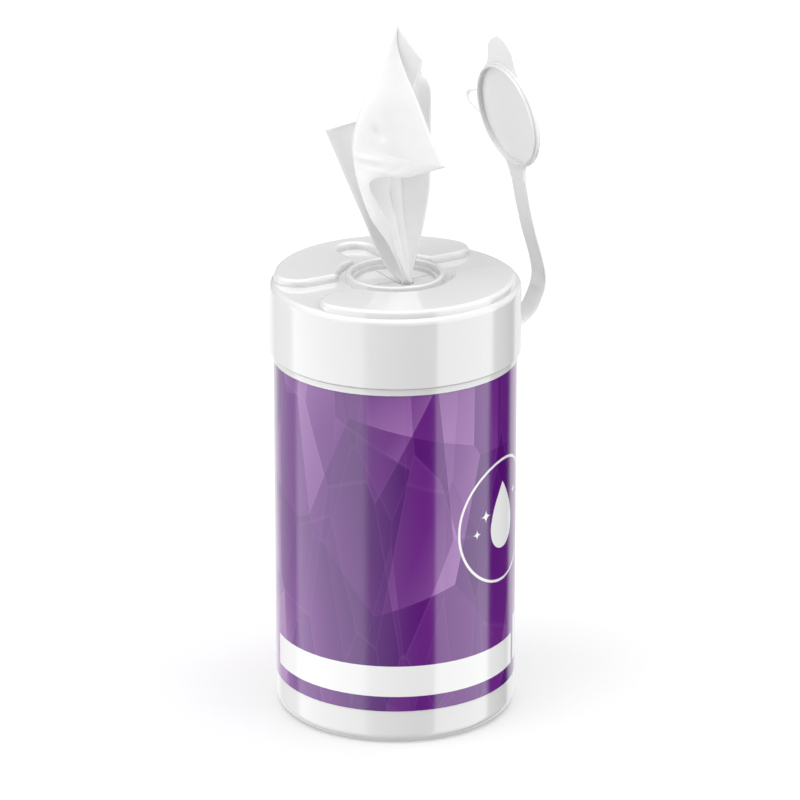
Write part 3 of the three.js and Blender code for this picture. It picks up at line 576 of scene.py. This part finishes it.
def wipe_point(lines, across, up):
    """A point of the wipe: across counts its lines from the left edge, and up is from 0 to 1."""
    strip = min(int(across), len(lines) - 2)
    t = across - strip
    a, b = catmull_rom(lines[strip], up), catmull_rom(lines[strip + 1], up)
    bow = WIPE_BOWS[strip] * min(1, (a - b).length / FULL_WIDTH) * 4 * t * (1 - t)
    p = a.lerp(b, t) + Vector((0, bow, 0))
    waves = Vector((p.x * RIPPLE_SCALE[0], strip * RIPPLE_SCALE[1], p.z * RIPPLE_SCALE[2]))
    ripple = RIPPLE * noise.noise(waves)
    p.y += ripple * min(1, max(0, p.z) / FULL_HEIGHT)
    if strip == len(lines) - 2:
        p.y += sum(dent(p, *sizes) for sizes in DENTS)
    gather = math.exp(-((p.z / (GATHER_ABOVE if p.z > 0 else GATHER_BELOW)) ** 2))
    foot = Vector(VALVE_MIDDLE) + Vector(FOOT[strip]).lerp(Vector(FOOT[strip + 1]), t)
    p.x += (foot.x - p.x) * gather
    p.y += (foot.y - p.y) * gather
    return p


def make_wipe():
    lines = [[Vector(p) for p in line] for line in WIPE_LINES.values()]
    rows = WIPE_ROWS
    columns = (len(lines) - 1) * WIPE_COLUMNS
    vertices, faces = [], []
    for i in range(rows + 1):
        for j in range(columns + 1):
            p = wipe_point(lines, j / WIPE_COLUMNS, i / rows)
            x, y = turned(p.x, p.y, WIPE_TURN)
            vertices.append(place(x, y, p.z + VALVE_TOP))
    wide = columns + 1
    for i in range(rows):
        for j in range(columns):
            a = i * wide + j
            faces.append((a, a + 1, a + wide + 1, a + wide))
    wipe = new_object("drawn_wipe", vertices, faces)
    use(wipe, cloth)
    thick = wipe.modifiers.new("thickness", "SOLIDIFY")
    thick.thickness = WIPE_THICKNESS * MM
    thick.offset = 0
    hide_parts("pulled_wipe")
    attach(wipe, "cap")
    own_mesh(wipe)
    return wipe


strap = make_strap()
wipe = make_wipe()


# Studio

FLOOR_REACH = 6  # metres each way
FLOOR_DROP = 0.0002
FLOOR_TONE = (0.72, 0.72, 0.72, 1)
FLOOR_GLOW = 0.08


def make_floor():
    """A floor that only the camera sees, so that the pack takes its light from the surroundings."""
    corners = ((-1, -1), (1, -1), (1, 1), (-1, 1))
    places = [(x * FLOOR_REACH, y * FLOOR_REACH, -FLOOR_DROP) for x, y in corners]
    floor = new_object("floor", places, [(0, 1, 2, 3)])
    material, n, shader = new_material("floor_white")
    shader.inputs["Base Color"].default_value = FLOOR_TONE
    shader.inputs["Emission Color"].default_value = (1, 1, 1, 1)
    shader.inputs["Emission Strength"].default_value = FLOOR_GLOW
    shader.inputs["Roughness"].default_value = 0.9
    shader.inputs["Specular IOR Level"].default_value = 0.1
    use(floor, material)
    floor.visible_glossy = False
    floor.visible_diffuse = False
    floor.visible_shadow = False


# Light round the object by direction, in degrees from the camera towards its right: from, to,
# softness of each end, radiance below the horizon, radiance above it
STRIPS = [
    (38.6, 101, 1.5, 4, 1.85, 1.5),  # right soft box
    (-108, -27.7, 4, 5, 1.1, 0.95),  # left soft box
    (-112, 1, 8, 31, 0.8, 0),  # glow behind the left one, which fades towards the right one
    (-180, -112, 1, 8, 0.7, 0),
    (140, 180, 6, 1, 0.9, 0),
    (-180, -150, 1, 8, 0.3, 0),
]
UNDERNEATH = 0.2  # share of the boxes' light that comes from straight below

# Light above the horizon
SKY = 0.36
SKY_TO_RIGHT = 0.28  # more on the right, less on the left
ZENITH = 1.9
KEY = 1.0
KEY_TURN = math.radians(-62)
KEY_HEIGHT = math.radians(40)

# Where one light fades into the next, as the sine of the height, or the cosine from the key light
DOWNWARD = (-0.95, -0.6)
HORIZON = (-0.1, 0.02)
BOX_TOP = (0.3, 0.65)
OVERHEAD = (0.5, 0.95)
KEY_EDGE = (0.8, 0.97)


def make_world():
    """White surroundings whose light depends on the direction alone."""
    world = bpy.data.worlds.new("studio")
    world.use_nodes = True
    bpy.context.scene.world = world
    n = Nodes(world.node_tree)
    background = world.node_tree.nodes["Background"]
    toward = n.add("ShaderNodeTexCoord").outputs["Generated"]
    right = Vector((math.cos(VIEW_TURN), math.sin(VIEW_TURN), 0))
    back = Vector((math.sin(VIEW_TURN), -math.cos(VIEW_TURN), 0))
    turn = n.math("MULTIPLY", n.math("ARCTAN2", n.dot(toward, right), n.dot(toward, back)), 180 / math.pi)
    height = n.dot(toward, (0, 0, 1))
    low_boxes, high_boxes = 0.0, 0.0
    for low, high, soft_low, soft_high, radiance_below, radiance_above in STRIPS:
        rise = n.ramp(turn, low - soft_low, low + soft_low)
        fall = n.ramp(turn, high - soft_high, high + soft_high, 1.0, 0.0)
        box = n.math("MULTIPLY", rise, fall)
        low_boxes = n.math("MULTIPLY_ADD", box, radiance_below, low_boxes)
        high_boxes = n.math("MULTIPLY_ADD", box, radiance_above, high_boxes)
    below = n.math("MULTIPLY", low_boxes, n.ramp(height, *DOWNWARD, UNDERNEATH, 1.0))
    key = back * math.cos(KEY_TURN) + right * math.sin(KEY_TURN)
    key = key * math.cos(KEY_HEIGHT) + Vector((0, 0, math.sin(KEY_HEIGHT)))
    sky = n.math("MULTIPLY_ADD", n.dot(toward, right), SKY_TO_RIGHT, SKY)
    sky = n.math("ADD", sky, n.ramp(height, *OVERHEAD, 0.0, ZENITH))
    sky = n.math("MULTIPLY_ADD", high_boxes, n.ramp(height, *BOX_TOP, 1.0, 0.0), sky)
    sky = n.math("ADD", sky, n.ramp(n.dot(toward, key), *KEY_EDGE, 0.0, KEY))
    above = n.ramp(height, *HORIZON)
    total = n.math("MULTIPLY_ADD", above, n.math("SUBTRACT", sky, below), below)
    n.join(total, background.inputs["Strength"])
    background.inputs["Color"].default_value = (1, 1, 1, 1)


def make_camera():
    data = bpy.data.cameras.new("camera")
    data.lens = LENS
    data.sensor_width = 36
    data.clip_start = 0.05
    data.clip_end = 30
    camera = bpy.data.objects.new("camera", data)
    camera.location = Vector(CAMERA_PLACE) * MM
    camera.rotation_mode = "QUATERNION"
    camera.rotation_quaternion = Vector(CAMERA_FORWARD).to_track_quat("-Z", "Y")
    bpy.context.scene.collection.objects.link(camera)
    bpy.context.scene.camera = camera


make_floor()
make_world()
make_camera()
bpy.context.scene.view_settings.view_transform = "Standard"
